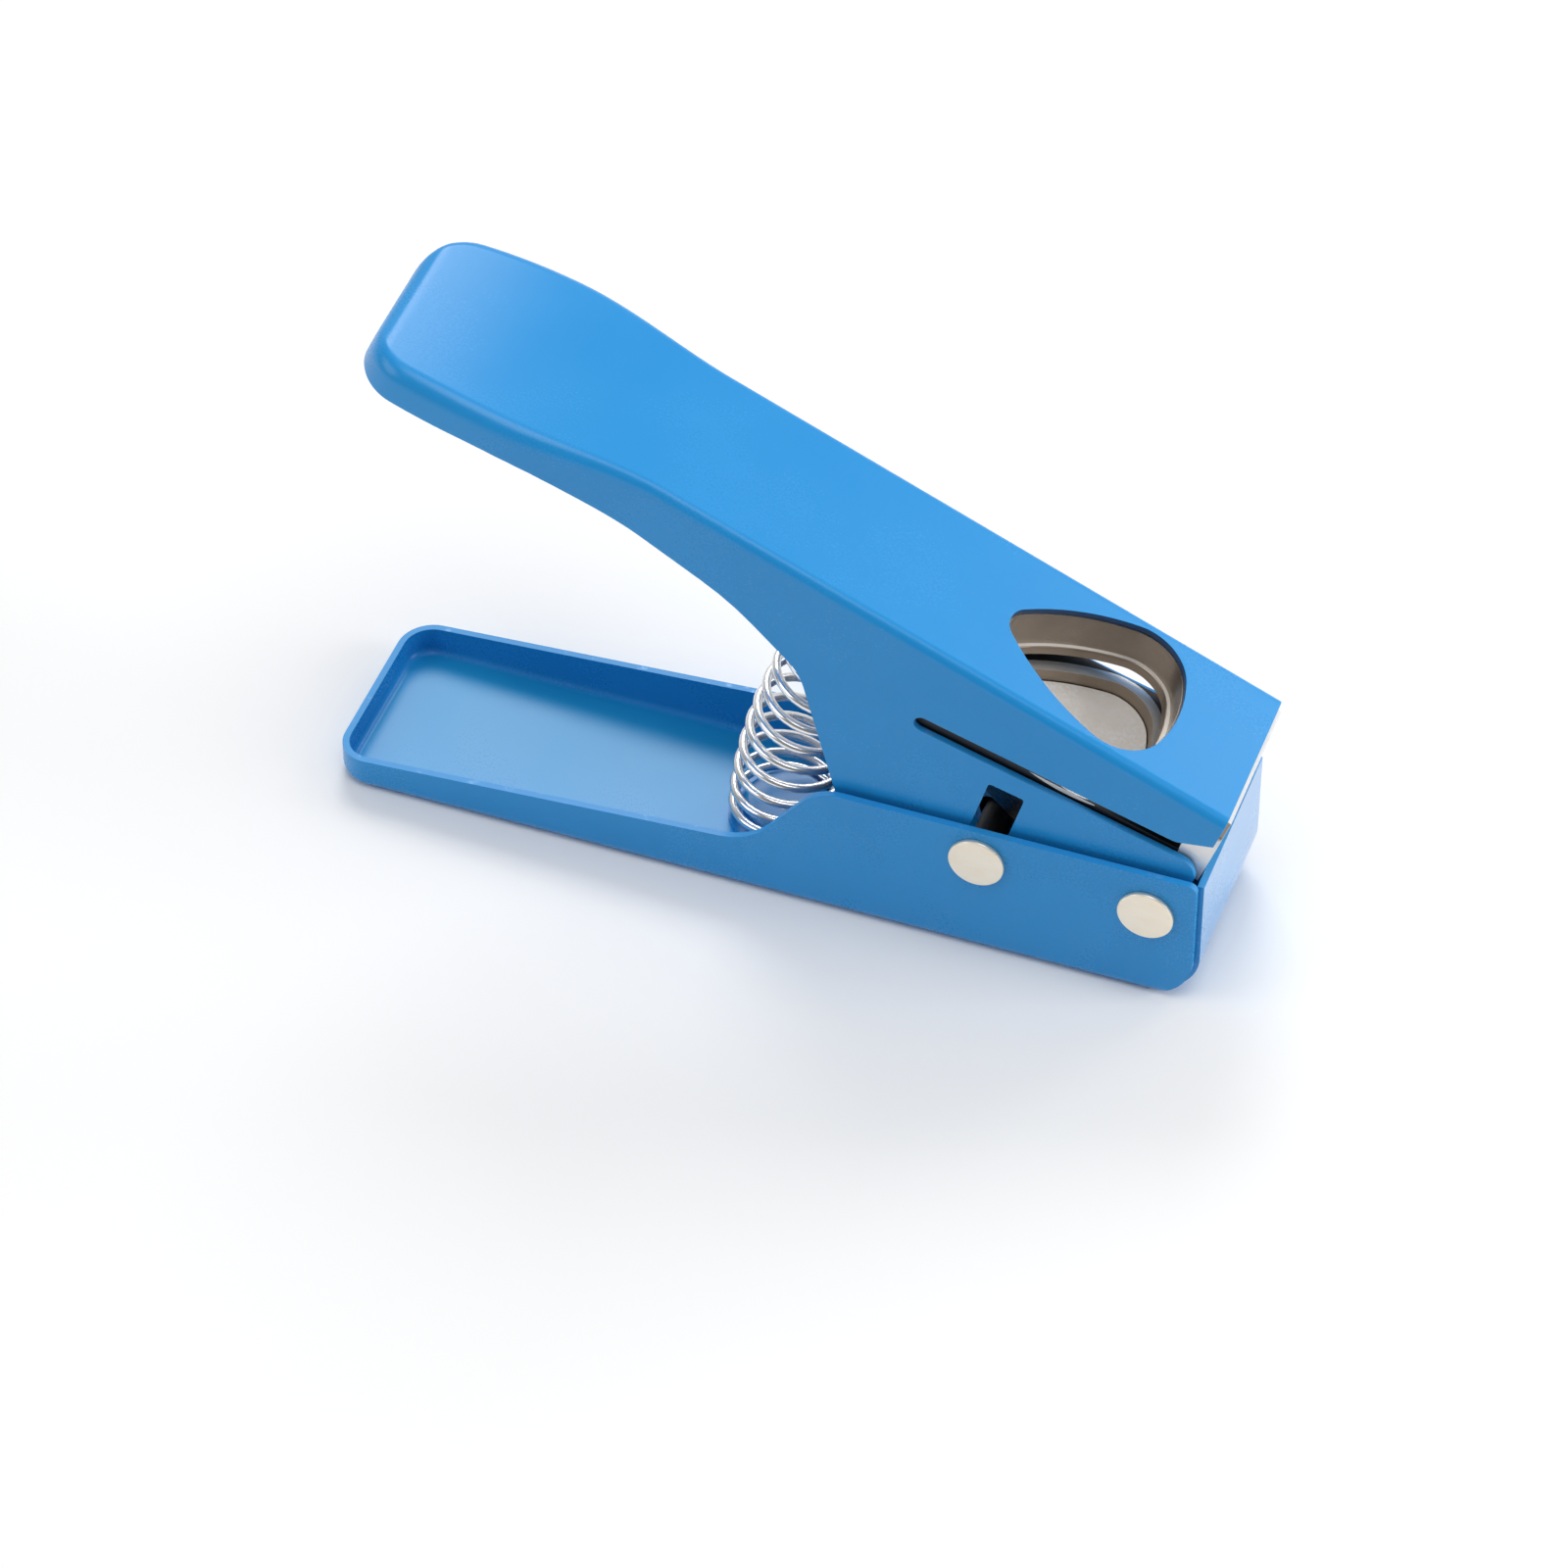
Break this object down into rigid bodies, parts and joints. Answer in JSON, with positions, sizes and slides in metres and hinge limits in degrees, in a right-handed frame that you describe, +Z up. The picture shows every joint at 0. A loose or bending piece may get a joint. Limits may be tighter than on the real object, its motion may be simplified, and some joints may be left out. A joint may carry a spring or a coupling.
{
  "type": "guitar pick punch",
  "caption": "Hand-squeezed guitar pick punch: folded blue tray base, sprung lever on rivets, a pick-shaped die window in the lever and a fixed punch beneath it.",
  "frame": {"origin": "centre of the base's underside", "axes": "+X towards the nose with the rivets, +Y across, +Z up"},
  "size_m": [0.158, 0.039, 0.0986],
  "materials": {
    "blue_paint": "satin sky-blue paint",
    "nickel_plate": "bright nickel plate",
    "spring_chrome": "bright wire",
    "tube_steel": "turned",
    "die_steel": "ground",
    "punch_steel": "pitted",
    "dark_screw": "blackened"
  },
  "bodies": {
    "base": {"base_shell": "blue_paint", "lower_spring_seat": "blue_paint", "return_spring": "spring_chrome", "pivot_rivet": "nickel_plate", "pivot_tube": "tube_steel", "pivot_washers": "tube_steel", "guide_rivet": "nickel_plate", "guide_tube": "tube_steel"},
    "lever": {"lever_shell": "blue_paint", "upper_spring_seat": "blue_paint", "die_collar": "die_steel", "die_plate": "die_steel", "front_spacer": "die_steel", "rear_spacer": "die_steel", "guide_plate": "die_steel", "die_screws": "dark_screw", "die_dowels": "tube_steel"},
    "punch": {"punch": "punch_steel", "punch_foot": "tube_steel", "punch_screws": "dark_screw"}
  },
  "joints": [
    {"name": "lever_hinge", "type": "hinge", "parent": "base", "child": "lever", "pos_m": [0.0683, 0, 0.0188], "axis": [0, -1, 0], "range_deg": [0, 23.5], "stiffness_Nm_per_rad": 8, "springref_deg": -14.32, "deforming": ["return_spring"]},
    {"name": "punch_slide", "type": "slide", "parent": "lever", "child": "punch", "axis": [0.3256, 0, 0.9455], "range_m": [0, 0.0121]}
  ],
  "couplings": [
    {"joint": "punch_slide", "follows": "lever_hinge", "m_per_rad": 0.029224}
  ]
}
